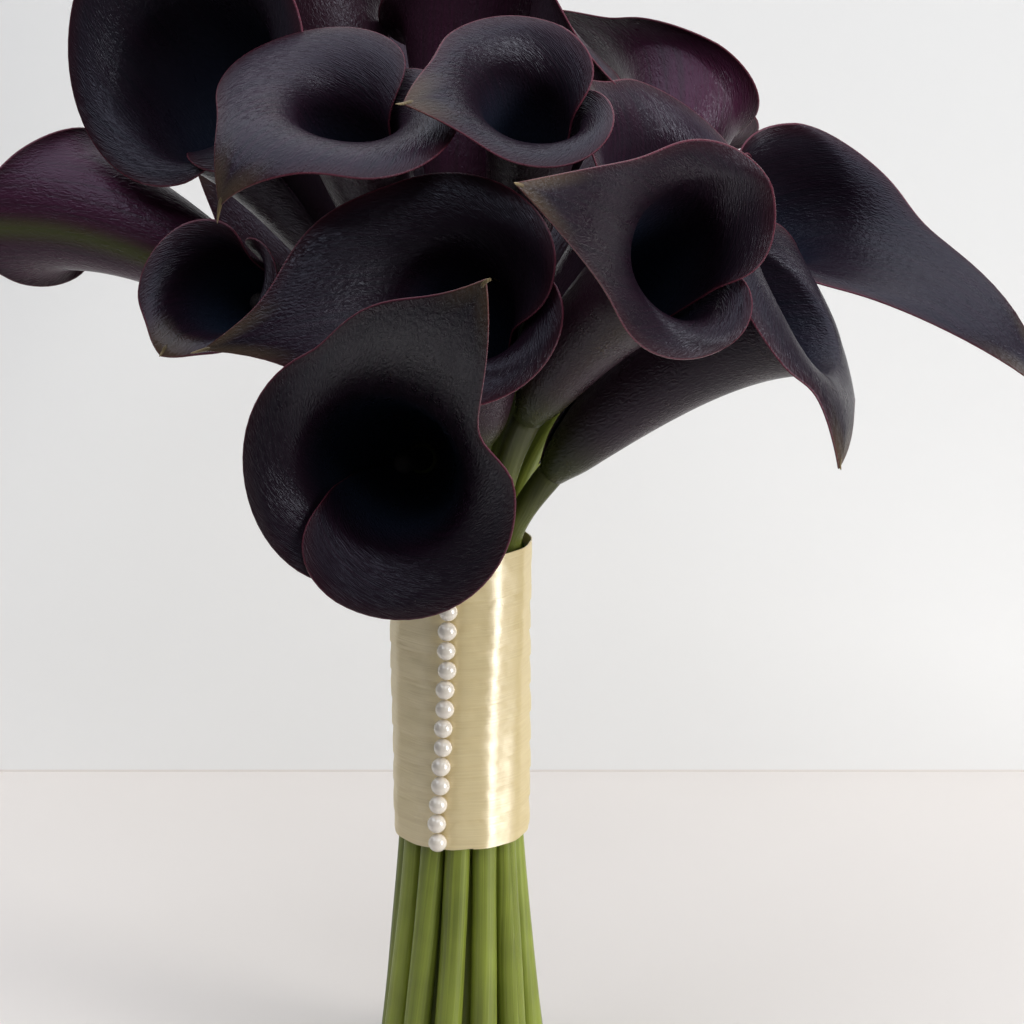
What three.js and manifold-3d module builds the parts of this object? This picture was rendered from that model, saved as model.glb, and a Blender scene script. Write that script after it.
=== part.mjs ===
// A hand-tied bouquet of nineteen dark calla lilies, standing on its cut stem ends.
// Millimetres, +Z up, the front of the bouquet towards -Y. The origin is the middle of the
// bundle on the flat plane of the cut ends.
import * as THREE from "three";
import Module from "manifold-3d";

const wasm = await Module();
wasm.setup();
const { Manifold, Mesh } = wasm;

// Driving dimensions of the handle: stems, binding tape, ribbon and pins.
const wrapBottom = 80;
const wrapTop = 169;
const stemRadius = 3.6;
const stemFootRadius = 4.2;
const innerRing = { radius: 7.6, count: 6, firstAngle: 25 };
const outerRing = { radius: 14.8, count: 12, firstAngle: 10 };
const footSpread = 1.52;
const twistPerMm = 0.146;
const fitGap = 0.3;
const tapeThickness = 0.5;
const ribbonThickness = 0.7;
const tapeInset = 3;
const pearlRadius = 2.8;
const pearlPitch = 5.9;
const pearlCount = 15;
const lowestPearl = 83.1;
const pinValleyAngle = -5;
const shankRadius = 0.4;
const shankReach = 16.6;

// Driving dimensions of one flower. The spathe is a single leaf rolled into a tube with its
// edges overlapping, opening into a rolled lip with one drawn-out tip.
const usual = {
  tube: 66, // length of the tube, base to throat
  throat: 19, // radius where the lip begins
  drop: 16.5, // how much earlier it begins at the seam
  rim: 30, // radius of the rolled lip
  tipReach: 1.65, // radius at the tip, as a share of rim
  tipSpread: 60, // half angle of the tip triangle
  neck: [0.06, 0.06], // how much the triangle's right and left sides curve in
  skew: 0, // one side of the lip longer than the other
  lap: 0.55, // overlap of the two edges, radians each
  rollTip: 62, // how far the lip has turned from the axis at the tip, sides and seam
  rollSide: 115,
  rollSeam: 118,
  rollDelay: 1.5, // above 1 the lip turns late, near its margin
  rise: 0.4, // share of the distance over which the stem keeps rising
  bend: 0.3, // share over which it lies along the flower's axis
};
const baseRadius = 4.8;
const belly = 1.2; // how far the tube swells out past a plain cone
const bellyLow = 0.6; // below 1 moves the swelling down towards the stem
const seamCut = 0.05;
const layerOffset = 0.95;
const petalBase = 1.3;
const petalEdge = 0.7;
const receptacleStart = -3;
const spadixLength = 30;
const spadixRadius = 3;

// Mouth positions in millimetres; facing is azimuth (0 to the front, positive to +X) and
// elevation; tip is the clock angle of the pointed tip, seen looking into the mouth.
const flowers = {
  A: { slot: 18, mouth: [-20, -110, 215.5], facing: [-8, 8], tip: 31, rim: 38, throat: 25,
    tipReach: 1.76, tipSpread: 56, neck: [0.22, -0.12], lap: 0.8, rollDelay: 0.8 },
  B: { slot: 7, mouth: [0, -58, 252], facing: [-22, 15], tip: -108, rim: 32, throat: 17,
    lap: 0.7, tipReach: 1.96, tipSpread: 80, neck: [-0.08, -0.08], rollTip: 100, skew: -0.1,
    rollDelay: 0.9, bend: 0.25 },
  C: { slot: 8, mouth: [63, -82, 270.9], facing: [10, 12], tip: -73, rim: 29, throat: 18,
    tube: 100, drop: 19.5, tipReach: 2.1, tipSpread: 68, rollDelay: 1, bend: 0.2 },
  D: { slot: 9, mouth: [100, -38, 248.5], facing: [64, 10], tip: -160, tube: 100, throat: 21,
    rim: 33, tipReach: 1.42, tipSpread: 50, neck: [0.1, 0.1], rollTip: 105, rollSide: 180,
    rollSeam: 120, rollDelay: 0.35, rise: 0.1, bend: 0.35 },
  E: { slot: 1, mouth: [19.5, -46, 307.5], facing: [-8, 38], tip: -118, rim: 25, throat: 15,
    tipReach: 1.35, rollTip: 80, rollDelay: 1, rise: 0.35 },
  F: { slot: 6, mouth: [-30, -49, 304], facing: [-12, 50], tip: -148, rim: 33, throat: 14,
    tipReach: 1.42, rollTip: 150, rollDelay: 0.9 },
  G: { slot: 16, mouth: [-73, -6, 306.3], facing: [-30, 32], tip: -15, rim: 38, throat: 25,
    tube: 84, tipReach: 1.3, rise: 0.5 },
  H: { slot: 15, mouth: [-114, 10, 265], facing: [-105, 5], tip: 100, rim: 24, rollTip: 55, rise: 0.3 },
  I: { slot: 17, mouth: [-67, -50, 255], facing: [-25, 12], tip: -158, rim: 19.5, throat: 14,
    tube: 50, drop: 12.5, tipReach: 1.1, rollTip: 90 },
  J: { slot: 10, mouth: [99, 19, 264.1], facing: [40, 15], tip: 154, rim: 27,
    tipReach: 2.65, rollTip: 95, bend: 0.25, rise: 0.3 },
  K: { slot: 11, mouth: [67, 66, 295], facing: [-178, 40], tip: 90, rim: 27, rollSide: 160,
    rollDelay: 0.5 },
  L: { slot: 2, mouth: [59, -1, 272.3], facing: [22, 50], tip: -65, rim: 30, tipReach: 1.25,
    rise: 0.5 },
  M: { slot: 5, mouth: [-41.5, 50, 308.2], facing: [-110, 65], tip: 60, rim: 24, rise: 0.45 },
  N: { slot: 0, mouth: [1, 41, 315.6], facing: [170, 75], tip: -20, rim: 25, rise: 0.55 },
  O: { slot: 3, mouth: [35.5, 16, 313.4], facing: [90, 70], tip: -10, rim: 20, throat: 16 },
  P: { slot: 14, mouth: [-46, 66, 235], facing: [-145, 15], tip: 40, rim: 25 },
  Q: { slot: 13, mouth: [-8, 96, 203], facing: [178, 8], tip: 10, rim: 26 },
  R: { slot: 12, mouth: [36, 92, 252], facing: [165, 20], tip: -30, rim: 26 },
  S: { slot: 4, mouth: [-19, 94, 288], facing: [-172, 42], tip: 0, rim: 25 },
};

// Mesh resolution. The flowers hidden at the back are drawn coarser.
const petalColumns = { front: 14, back: 12 };
const petalRows = { front: 6, back: 5 };
const backFlowers = "MNOPQRS";
const stemSides = 6;
const bodySides = 6;
const wrapSides = 28;

const radians = THREE.MathUtils.degToRad;
const v3 = (x, y, z) => new THREE.Vector3(x, y, z);
const ease = (x) => THREE.MathUtils.smoothstep(x, 0, 1);

// Where a stem stands in the bundle at height z.
function bundlePoint(slot, z) {
  let radius = 0;
  let angle = 0;
  if (slot > innerRing.count) {
    radius = outerRing.radius;
    angle = outerRing.firstAngle + (360 / outerRing.count) * (slot - 1 - innerRing.count);
  } else if (slot > 0) {
    radius = innerRing.radius;
    angle = innerRing.firstAngle + (360 / innerRing.count) * (slot - 1);
  }
  const open = z < wrapBottom ? 1 - z / wrapBottom : 0;
  const reach = radius * (1 + (footSpread - 1) * open * (0.75 + 0.25 * open));
  const turn = radians(angle + twistPerMm * (z - wrapTop));
  return v3(reach * Math.sin(turn), -reach * Math.cos(turn), z);
}

// The flower's centre line from the mouth back to the floor, with frames that don't twist.
function centreLine(flower) {
  const [azimuth, elevation] = flower.facing.map(radians);
  const level = Math.cos(elevation);
  const facing = v3(Math.sin(azimuth) * level, -Math.cos(azimuth) * level, Math.sin(elevation));
  const mouth = v3(...flower.mouth);
  const exit = bundlePoint(flower.slot, wrapTop);
  const lean = exit.clone().sub(bundlePoint(flower.slot, wrapTop - 1)).normalize();
  const distance = mouth.distanceTo(exit);
  const curve = new THREE.CubicBezierCurve3(
    mouth,
    mouth.clone().addScaledVector(facing, -distance * flower.bend),
    exit.clone().addScaledVector(lean, distance * flower.rise),
    exit,
  );
  const points = curve.getPoints(80);
  const downSteps = 40;
  for (let i = 1; i <= downSteps; i++) {
    points.push(bundlePoint(flower.slot, wrapTop * (1 - i / downSteps)));
  }
  const side = v3(0, 0, 1).cross(facing).normalize();
  const up = facing.clone().cross(side);
  const clock = radians(flower.tip);
  let normal = up.multiplyScalar(Math.cos(clock)).addScaledVector(side, Math.sin(clock));
  let travelled = 0;
  return points.map((point, i) => {
    const ahead = points[Math.max(i - 1, 0)];
    const behind = points[Math.min(i + 1, points.length - 1)];
    const tangent = i ? ahead.clone().sub(behind).normalize() : facing.clone();
    normal = normal.clone().addScaledVector(tangent, -normal.dot(tangent)).normalize();
    if (i) travelled += point.distanceTo(ahead);
    return { point, tangent, normal, across: tangent.clone().cross(normal), travelled };
  });
}

// The frame at a distance back from the mouth.
function frameAt(line, distance) {
  let i = 1;
  while (i < line.length - 1 && line[i].travelled < distance) i++;
  const a = line[i - 1];
  const b = line[i];
  const share = THREE.MathUtils.clamp(
    (distance - a.travelled) / (b.travelled - a.travelled), 0, 1);
  const mix = (key) => a[key].clone().lerp(b[key], share);
  return {
    point: mix("point"),
    tangent: mix("tangent").normalize(),
    normal: mix("normal").normalize(),
    across: mix("across").normalize(),
  };
}

// Point of the spathe's middle surface: u runs across the rolled leaf from edge to edge,
// t runs from its base to its margin.
function spathePoint(flower, line, u, t) {
  const turn = u * (Math.PI + flower.lap);
  const away = Math.min(Math.abs(turn), Math.PI);
  const toTip = ((1 + Math.cos(away)) / 2) ** 2;
  const toSeam = ((1 - Math.cos(away)) / 2) ** 2;
  const roll = radians(toTip * flower.rollTip + toSeam * flower.rollSeam
    + (1 - toTip - toSeam) * flower.rollSide);
  const tubeHere = flower.tube - flower.drop * (1 - Math.cos(away)) / 2;
  const flare = Math.atan2(flower.throat - baseRadius, flower.tube);
  const spread = radians(flower.tipSpread);
  const sides = (1 + flower.skew * Math.sin(Math.sign(turn) * away)) * (1 - seamCut * toSeam);
  const rim = flower.rim * sides * (1 + (flower.tipReach - 1) * toTip ** 2);
  let margin = flower.rim * sides;
  if (Math.abs(turn) < spread) {
    const toPoint = 1 / Math.cos(spread - Math.abs(turn)) - 1;
    margin *= 1 + (flower.tipReach - 1) * toPoint / (1 / Math.cos(spread) - 1);
    const neck = flower.neck[turn < 0 ? 0 : 1];
    margin *= 1 - neck * Math.sin(Math.PI * Math.abs(turn) / spread) ** 2;
  }
  const throatHere = baseRadius + tubeHere * Math.tan(flare);
  const steps = 24;
  const angles = [];
  for (let i = 0; i < steps; i++) {
    angles.push(flare + (roll - flare) * ((i + 0.5) / steps) ** flower.rollDelay);
  }
  const outward = angles.reduce((sum, angle) => sum + Math.sin(angle), 0) / steps;
  const lip = (rim - throatHere) / Math.max(outward, 0.2);
  let reached = throatHere;
  let kept = 0;
  while (kept < steps && reached < margin) {
    reached += lip / steps * Math.sin(angles[kept]);
    kept += 1;
  }
  const excess = Math.max(0, reached - margin) / Math.sin(angles[kept - 1]);
  const trimmed = lip * kept / steps - excess;
  const lowEdge = 0.62 * tubeHere;
  const whole = lowEdge
    + (tubeHere + trimmed - lowEdge) * Math.sqrt(Math.max(0, 1 - Math.abs(u) ** 7));
  const s = whole * t;
  const bulge = belly * Math.sin(Math.PI * Math.min(1, s / tubeHere) ** bellyLow) ** 2;
  let radius = baseRadius + bulge + Math.min(s, tubeHere) * Math.tan(flare);
  let level = Math.min(s, tubeHere) - flower.tube;
  let heading = flare;
  const alongLip = Math.max(0, s - tubeHere) / lip * steps;
  for (let i = 0; i < alongLip; i++) {
    const part = Math.min(1, alongLip - i) * lip / steps;
    heading = angles[Math.min(i, steps - 1)];
    radius += part * Math.sin(heading);
    level += part * Math.cos(heading);
  }
  const layer = u * layerOffset * (1 + 1.2 * ease((s - 0.5 * tubeHere) / (0.6 * flower.tube)));
  radius += layer * Math.cos(heading);
  level -= layer * Math.sin(heading);
  const inTube = Math.min(0, s - flower.tube);
  const frame = frameAt(line, -inTube);
  return frame.point
    .addScaledVector(frame.tangent, level - inTube)
    .addScaledVector(frame.normal, radius * Math.cos(turn))
    .addScaledVector(frame.across, radius * Math.sin(turn));
}

function solid(points, triangles) {
  return new Manifold(new Mesh({
    numProp: 3,
    vertProperties: new Float32Array(points.flatMap((p) => [p.x, p.y, p.z])),
    triVerts: new Uint32Array(triangles.flat()),
  }));
}

// A leaf of real thickness over a grid of middle points.
function thickSheet(grid, thicknessAt) {
  const columns = grid.length;
  const rows = grid[0].length;
  const points = [];
  const triangles = [];
  for (const side of [1, -1]) {
    for (let i = 0; i < columns; i++) {
      for (let j = 0; j < rows; j++) {
        const alongU = grid[Math.min(i + 1, columns - 1)][j].clone().sub(grid[Math.max(i - 1, 0)][j]);
        const alongT = grid[i][Math.min(j + 1, rows - 1)].clone().sub(grid[i][Math.max(j - 1, 0)]);
        const normal = alongU.cross(alongT).normalize();
        points.push(grid[i][j].clone().addScaledVector(normal, side * thicknessAt(i, j) / 2));
      }
    }
  }
  const front = (i, j) => i * rows + j;
  const back = (i, j) => columns * rows + i * rows + j;
  const quad = (a, b, c, d) => {
    if (points[a].distanceTo(points[c]) <= points[b].distanceTo(points[d])) {
      triangles.push([a, b, c], [a, c, d]);
    } else {
      triangles.push([a, b, d], [b, c, d]);
    }
  };
  for (let i = 0; i < columns - 1; i++) {
    for (let j = 0; j < rows - 1; j++) {
      quad(front(i, j), front(i + 1, j), front(i + 1, j + 1), front(i, j + 1));
      quad(back(i, j), back(i, j + 1), back(i + 1, j + 1), back(i + 1, j));
    }
    quad(front(i, 0), back(i, 0), back(i + 1, 0), front(i + 1, 0));
    quad(front(i + 1, rows - 1), back(i + 1, rows - 1), back(i, rows - 1), front(i, rows - 1));
  }
  for (let j = 0; j < rows - 1; j++) {
    quad(front(0, j + 1), back(0, j + 1), back(0, j), front(0, j));
    quad(front(columns - 1, j), back(columns - 1, j), back(columns - 1, j + 1),
      front(columns - 1, j + 1));
  }
  return solid(points, triangles);
}

// A round body through rings of points, each ring listed counter-clockwise seen from its end.
function ringBody(rings) {
  const sides = rings[0].length;
  const middle = (ring) => ring.reduce((sum, p) => sum.add(p), v3(0, 0, 0)).divideScalar(sides);
  const points = [...rings.flat(), middle(rings[0]), middle(rings.at(-1))];
  const firstCentre = rings.length * sides;
  const triangles = [];
  for (let k = 0; k < sides; k++) {
    const next = (k + 1) % sides;
    for (let i = 0; i < rings.length - 1; i++) {
      const a = i * sides;
      const b = a + sides;
      triangles.push([a + k, a + next, b + next], [a + k, b + next, b + k]);
    }
    const top = (rings.length - 1) * sides;
    triangles.push([firstCentre, next, k], [firstCentre + 1, top + k, top + next]);
  }
  return solid(points, triangles);
}

function ringAround(frame, radius, sides) {
  return Array.from({ length: sides }, (_, k) => {
    const angle = (2 * Math.PI * k) / sides;
    return frame.point.clone()
      .addScaledVector(frame.normal, radius * Math.cos(angle))
      .addScaledVector(frame.across, radius * Math.sin(angle));
  });
}

// Spathe, the receptacle it grows from and the spadix inside it, as one body.
function bloom(flower, line, row) {
  const columns = petalColumns[row];
  const rows = petalRows[row];
  const crowdEnds = (x) => x - 0.08 * Math.sin(2 * Math.PI * x);
  const crowdMargin = (x) => 1 - (1 - x) ** 1.45;
  const grid = Array.from({ length: columns + 1 }, (_, i) => {
    const u = crowdEnds((2 * i) / columns - 1);
    return Array.from({ length: rows + 1 }, (_, j) =>
      spathePoint(flower, line, u, crowdMargin(j / rows)));
  });
  const spathe = thickSheet(grid, (i, j) => {
    const edge = Math.min(1, (rows - j) / 3, i, columns - i);
    return petalEdge + (petalBase - petalEdge) * edge;
  });
  const station = (s, radius) => ringAround(frameAt(line, flower.tube - s), radius, bodySides);
  const core = ringBody([
    station(receptacleStart, 4.2),
    station(2.5, 5.8),
    station(5, spadixRadius),
    station(spadixLength - 4, spadixRadius - 0.5),
    station(spadixLength, 1),
  ]);
  return spathe.add(core);
}

function stem(flower, line) {
  const top = flower.tube - receptacleStart + fitGap;
  const whole = line.at(-1).travelled;
  const exit = line[80].travelled;
  const stations = [];
  const upperSteps = 4;
  for (let i = 0; i <= upperSteps; i++) stations.push(top + ((exit - top) * i) / upperSteps);
  stations.push(exit + (whole - exit) * 0.27, exit + (whole - exit) * 0.53);
  stations.push(exit + (whole - exit) * 0.72, exit + (whole - exit) * 0.87);
  const rings = stations.map((distance) => {
    const frame = frameAt(line, distance);
    const belowWrap = ease(1 - frame.point.z / wrapBottom);
    const radius = stemRadius + (stemFootRadius - stemRadius) * belowWrap;
    return ringAround(frame, radius, stemSides);
  });
  const foot = frameAt(line, whole);
  const floorRing = ringAround(foot, stemFootRadius, stemSides);
  floorRing.forEach((p) => p.addScaledVector(foot.tangent, -p.z / foot.tangent.z));
  rings.push(floorRing);
  return ringBody(rings.reverse());
}

// A round sleeve about the bundle with a hole for each pin.
function sleeve(inner, outer, bottom, top, pins) {
  const tube = Manifold.cylinder(top - bottom, outer, outer, wrapSides)
    .subtract(Manifold.cylinder(top - bottom + 2, inner, inner, wrapSides).translate(0, 0, -1))
    .translate(0, 0, bottom);
  const holes = pins.map((pin) => pinShaft(pin, shankRadius + 0.25, inner - 1, outer + 1));
  return Manifold.difference([tube, ...holes]);
}

function pinShaft(pin, radius, from, to) {
  return Manifold.cylinder(to - from, radius, radius, 6)
    .rotate(90, 0, 0)
    .translate(0, -from, 0)
    .rotate(0, 0, pin.angle)
    .translate(0, 0, pin.z);
}

function pearlPin(pin, surface) {
  const centre = surface + pearlRadius;
  const head = Manifold.sphere(pearlRadius, 12)
    .translate(0, -centre, 0)
    .rotate(0, 0, pin.angle)
    .translate(0, 0, pin.z);
  return head.add(pinShaft(pin, shankRadius, shankReach, centre));
}

const looks = {
  spathe: { color: "#1d1420", roughness: 0.45, metalness: 0 },
  stem: { color: "#4d6b24", roughness: 0.5, metalness: 0 },
  ribbon: { color: "#dccf9f", roughness: 0.35, metalness: 0 },
  tape: { color: "#5d7a3a", roughness: 0.8, metalness: 0 },
  pearl: { color: "#f4efe4", roughness: 0.2, metalness: 0 },
};

const bouquet = new THREE.Group();

function addPart(name, body, look) {
  const made = body.getMesh();
  const geometry = new THREE.BufferGeometry();
  geometry.setAttribute("position", new THREE.BufferAttribute(made.vertProperties, 3));
  geometry.setIndex(new THREE.BufferAttribute(made.triVerts, 1));
  const mesh = new THREE.Mesh(geometry, new THREE.MeshStandardMaterial(looks[look]));
  mesh.name = name;
  bouquet.add(mesh);
}

for (const [letter, own] of Object.entries(flowers)) {
  const flower = { ...usual, ...own };
  const line = centreLine(flower);
  const row = backFlowers.includes(letter) ? "back" : "front";
  addPart(`bloom_${letter}`, bloom(flower, line, row), "spathe");
  addPart(`stem_${letter}`, stem(flower, line), "stem");
}

const pins = Array.from({ length: pearlCount }, (_, i) => {
  const z = lowestPearl + i * pearlPitch;
  return { z, angle: pinValleyAngle + twistPerMm * (z - wrapTop) };
});
const tapeInner = outerRing.radius + stemRadius + 1.5 * fitGap;
const tapeOuter = tapeInner + tapeThickness;
const ribbonInner = tapeOuter + fitGap;
const ribbonOuter = ribbonInner + ribbonThickness;
addPart("binding_tape",
  sleeve(tapeInner, tapeOuter, wrapBottom + tapeInset, wrapTop - tapeInset, pins), "tape");
addPart("ribbon_wrap", sleeve(ribbonInner, ribbonOuter, wrapBottom, wrapTop, pins), "ribbon");
pins.forEach((pin, i) => {
  addPart(`pearl_pin_${i + 1}`, pearlPin(pin, ribbonOuter), "pearl");
});

export default bouquet;
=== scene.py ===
import bpy
import bmesh
import math
import numpy as np
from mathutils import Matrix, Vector


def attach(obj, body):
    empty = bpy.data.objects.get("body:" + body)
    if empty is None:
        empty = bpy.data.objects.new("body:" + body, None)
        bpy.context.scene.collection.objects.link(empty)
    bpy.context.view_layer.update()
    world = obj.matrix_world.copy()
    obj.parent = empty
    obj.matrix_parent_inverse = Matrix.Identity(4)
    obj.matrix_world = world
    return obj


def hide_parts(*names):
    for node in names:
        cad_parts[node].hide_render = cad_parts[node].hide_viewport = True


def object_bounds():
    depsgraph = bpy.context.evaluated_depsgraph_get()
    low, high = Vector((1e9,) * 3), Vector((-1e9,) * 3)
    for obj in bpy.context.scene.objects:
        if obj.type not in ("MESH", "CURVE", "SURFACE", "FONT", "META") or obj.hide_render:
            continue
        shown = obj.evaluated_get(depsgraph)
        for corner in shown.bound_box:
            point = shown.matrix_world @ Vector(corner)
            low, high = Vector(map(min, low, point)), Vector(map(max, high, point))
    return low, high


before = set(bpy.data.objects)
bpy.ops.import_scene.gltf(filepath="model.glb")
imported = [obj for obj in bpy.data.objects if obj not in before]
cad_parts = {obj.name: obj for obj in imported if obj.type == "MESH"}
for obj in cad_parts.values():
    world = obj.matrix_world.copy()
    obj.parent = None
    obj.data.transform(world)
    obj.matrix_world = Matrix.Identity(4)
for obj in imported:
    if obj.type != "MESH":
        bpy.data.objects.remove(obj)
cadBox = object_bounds()
boxLow = np.array(cadBox[0]) * 1000  # in mm
boxHigh = np.array(cadBox[1]) * 1000
print("frame loaded")

mm = 0.001  # the scene is in metres, the dimensions below in millimetres


def ease(x):
    x = np.clip(x, 0, 1)
    return x * x * (3 - 2 * x)


def unit(v):
    return v / np.maximum(np.linalg.norm(v, axis=-1, keepdims=True), 1e-9)


def hexColor(text):
    def linear(c):
        return c / 12.92 if c <= 0.04045 else ((c + 0.055) / 1.055) ** 2.4
    parts = [int(text[i:i + 2], 16) / 255 for i in (1, 3, 5)]
    return tuple(linear(c) for c in parts) + (1.0,)


def add(tree, kind, settings=None, inputs=None):
    made = tree.nodes.new(kind)
    for name, value in (settings or {}).items():
        setattr(made, name, value)
    for name, value in (inputs or {}).items():
        if isinstance(value, bpy.types.NodeSocket):
            tree.links.new(value, made.inputs[name])
        else:
            made.inputs[name].default_value = value
    return made


def newMaterial(name):
    material = bpy.data.materials.new(name)
    material.use_nodes = True
    material.node_tree.nodes.clear()
    return material, material.node_tree


def meshObject(name, points, faces, material, attributes=None):
    data = bpy.data.meshes.new(name)
    data.from_pydata([tuple(p * mm) for p in points], [], faces)
    for label, values in (attributes or {}).items():
        layer = data.attributes.new(label, "FLOAT_VECTOR", "POINT")
        layer.data.foreach_set("vector", np.asarray(values, np.float32).ravel())
    work = bmesh.new()
    work.from_mesh(data)
    bmesh.ops.recalc_face_normals(work, faces=work.faces)
    work.to_mesh(data)
    work.free()
    data.shade_smooth()
    data.materials.append(material)
    made = bpy.data.objects.new(name, data)
    bpy.context.scene.collection.objects.link(made)
    return made


# smooth wandering values between -1 and 1, about one for every period
def wander(seed, positions, period):
    draw = np.random.default_rng(seed)
    count = 400
    knots = draw.uniform(-1, 1, count)
    x = np.asarray(positions) / period + count / 4
    low = np.floor(x).astype(int) % (count - 1)
    share = ease(x - np.floor(x))
    return knots[low] * (1 - share) + knots[low + 1] * share


# The bundle and the flowers follow the same lines and surfaces as the solid part. Lengths are in
# mm and angles in degrees.
handle = {
    "wrapBottom": 80, "wrapTop": 169, "stemRadius": 3.6, "stemFootRadius": 4.2,
    "innerRadius": 7.6, "innerCount": 6, "innerAngle": 25,
    "outerRadius": 14.8, "outerCount": 12, "outerAngle": 10,
    "footSpread": 1.52, "twistPerMm": 0.146,
    "ribbonOuter": 20.35, "pearlRadius": 2.8, "pearlPitch": 5.9, "pearlCount": 15,
    "lowestPearl": 83.1, "pinAngle": -5, "shankEnd": 16.5,
}
usual = {
    "tube": 66, "throat": 19, "drop": 16.5, "rim": 30, "tipReach": 1.65, "tipSpread": 60,
    "neck": (0.06, 0.06), "skew": 0, "lap": 0.55, "rollTip": 62, "rollSide": 115,
    "rollSeam": 118, "rollDelay": 1.5, "rise": 0.4, "bend": 0.3,
    # looks: shares of purple in the skin, of greyish waxy bloom with painted sheen, of painted
    # bluish shade and sheen deep in the throat and of green along the midrib, the length of the
    # dry tip, and how far it turns in and sideways
    "purple": 0.15, "bloomAndSheen": 0.1, "deep": 1, "midrib": 0, "hook": 3, "hookIn": 30, "hookSide": 0,
}
leaf = {
    "baseRadius": 4.8, "belly": 1.2, "bellyLow": 0.6, "seamCut": 0.05, "layerOffset": 0.95,
    "body": 1.0, "edge": 0.55, "edgeWidth": 9, "wave": 0.7, "lowEdge": 0.62, "lipSteps": 48,
    "spadixLength": 30, "spadixRadius": 3, "spadixKnob": 0.22,
}
# the dry hooked point that the midrib ends in, with its root sunk into the leaf
hook = {"root": 3.2, "radius": 0.62, "tipRadius": 0.1, "stations": 9, "sides": 8}
# the larger greyish shares paint sheen on blooms that face the light or catch it inside; deep scales the
# painted throat shade and sheen
flowers = {
    "A": {"slot": 18, "mouth": (-20, -110, 215.5), "facing": (-8, 8), "tip": 31, "rim": 38,
          "throat": 25, "tipReach": 1.76, "tipSpread": 56, "neck": (0.22, -0.12), "lap": 0.8,
          "rollDelay": 0.8, "hook": 3.5, "hookSide": -75},
    "B": {"slot": 7, "mouth": (0, -58, 252), "facing": (-22, 15), "tip": -108, "rim": 32,
          "throat": 17, "lap": 0.7, "tipReach": 1.96, "tipSpread": 80, "neck": (-0.08, -0.08),
          "rollTip": 100, "skew": -0.1, "rollDelay": 0.9, "bend": 0.25},
    "C": {"slot": 8, "mouth": (63, -82, 270.9), "facing": (10, 12), "tip": -73, "rim": 29,
          "throat": 18, "tube": 100, "drop": 19.5, "tipReach": 2.1, "tipSpread": 68,
          "rollDelay": 1, "bend": 0.2, "hook": 1},
    "D": {"slot": 9, "mouth": (100, -38, 248.5), "facing": (64, 10), "tip": -160, "tube": 100,
          "throat": 21, "rim": 33, "tipReach": 1.42, "tipSpread": 50, "neck": (0.1, 0.1),
          "rollTip": 105, "rollSide": 180, "rollSeam": 120, "rollDelay": 0.35, "rise": 0.1,
          "bend": 0.35, "bloomAndSheen": 0.4, "hook": 0.5},
    "E": {"slot": 1, "mouth": (19.5, -46, 307.5), "facing": (-8, 38), "tip": -118, "rim": 25,
          "throat": 15, "tipReach": 1.35, "rollTip": 80, "rollDelay": 1, "rise": 0.35,
          "bloomAndSheen": 0.25, "deep": 0.8, "hook": 2.5},
    "F": {"slot": 6, "mouth": (-30, -49, 304), "facing": (-12, 50), "tip": -148, "rim": 33,
          "throat": 14, "tipReach": 1.42, "rollTip": 150, "rollDelay": 0.9, "bloomAndSheen": 0.35,
          "purple": 0.25, "hook": 5, "hookIn": -10},
    "G": {"slot": 16, "mouth": (-73, -6, 306.3), "facing": (-30, 32), "tip": -15, "rim": 38,
          "throat": 25, "tube": 84, "tipReach": 1.3, "rise": 0.5, "bloomAndSheen": 0.5, "hook": 0.3},
    "H": {"slot": 15, "mouth": (-114, 10, 265), "facing": (-105, 5), "tip": 100, "rim": 24,
          "rollTip": 55, "rise": 0.3, "purple": 1, "midrib": 1, "hook": 0},
    "I": {"slot": 17, "mouth": (-67, -50, 255), "facing": (-25, 12), "tip": -158, "rim": 19.5,
          "throat": 14, "tube": 50, "drop": 12.5, "tipReach": 1.1, "rollTip": 90, "hook": 0.5},
    "J": {"slot": 10, "mouth": (99, 19, 264.1), "facing": (40, 15), "tip": 154, "rim": 27,
          "tipReach": 2.65, "rollTip": 95, "bend": 0.25, "rise": 0.3, "bloomAndSheen": 0.4, "hook": 0.2},
    "K": {"slot": 11, "mouth": (67, 66, 295), "facing": (-178, 40), "tip": 90, "rim": 27,
          "rollSide": 160, "rollDelay": 0.5, "purple": 1, "hook": 1},
    "L": {"slot": 2, "mouth": (59, -1, 272.3), "facing": (22, 50), "tip": -65, "rim": 30,
          "tipReach": 1.25, "rise": 0.5, "purple": 0.4, "bloomAndSheen": 0.6, "hook": 0.5},
    "M": {"slot": 5, "mouth": (-41.5, 50, 308.2), "facing": (-110, 65), "tip": 60, "rim": 24,
          "rise": 0.45},
    "N": {"slot": 0, "mouth": (1, 41, 315.6), "facing": (170, 75), "tip": -20, "rim": 25,
          "rise": 0.55, "purple": 0.5},
    "O": {"slot": 3, "mouth": (35.5, 16, 313.4), "facing": (90, 70), "tip": -10, "rim": 20,
          "throat": 16, "bloomAndSheen": 0.5},
    "P": {"slot": 14, "mouth": (-46, 66, 235), "facing": (-145, 15), "tip": 40, "rim": 25},
    "Q": {"slot": 13, "mouth": (-8, 96, 203), "facing": (178, 8), "tip": 10, "rim": 26, "hook": 0.5},
    "R": {"slot": 12, "mouth": (36, 92, 252), "facing": (165, 20), "tip": -30, "rim": 26},
    "S": {"slot": 4, "mouth": (-19, 94, 288), "facing": (-172, 42), "tip": 0, "rim": 25},
}


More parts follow.
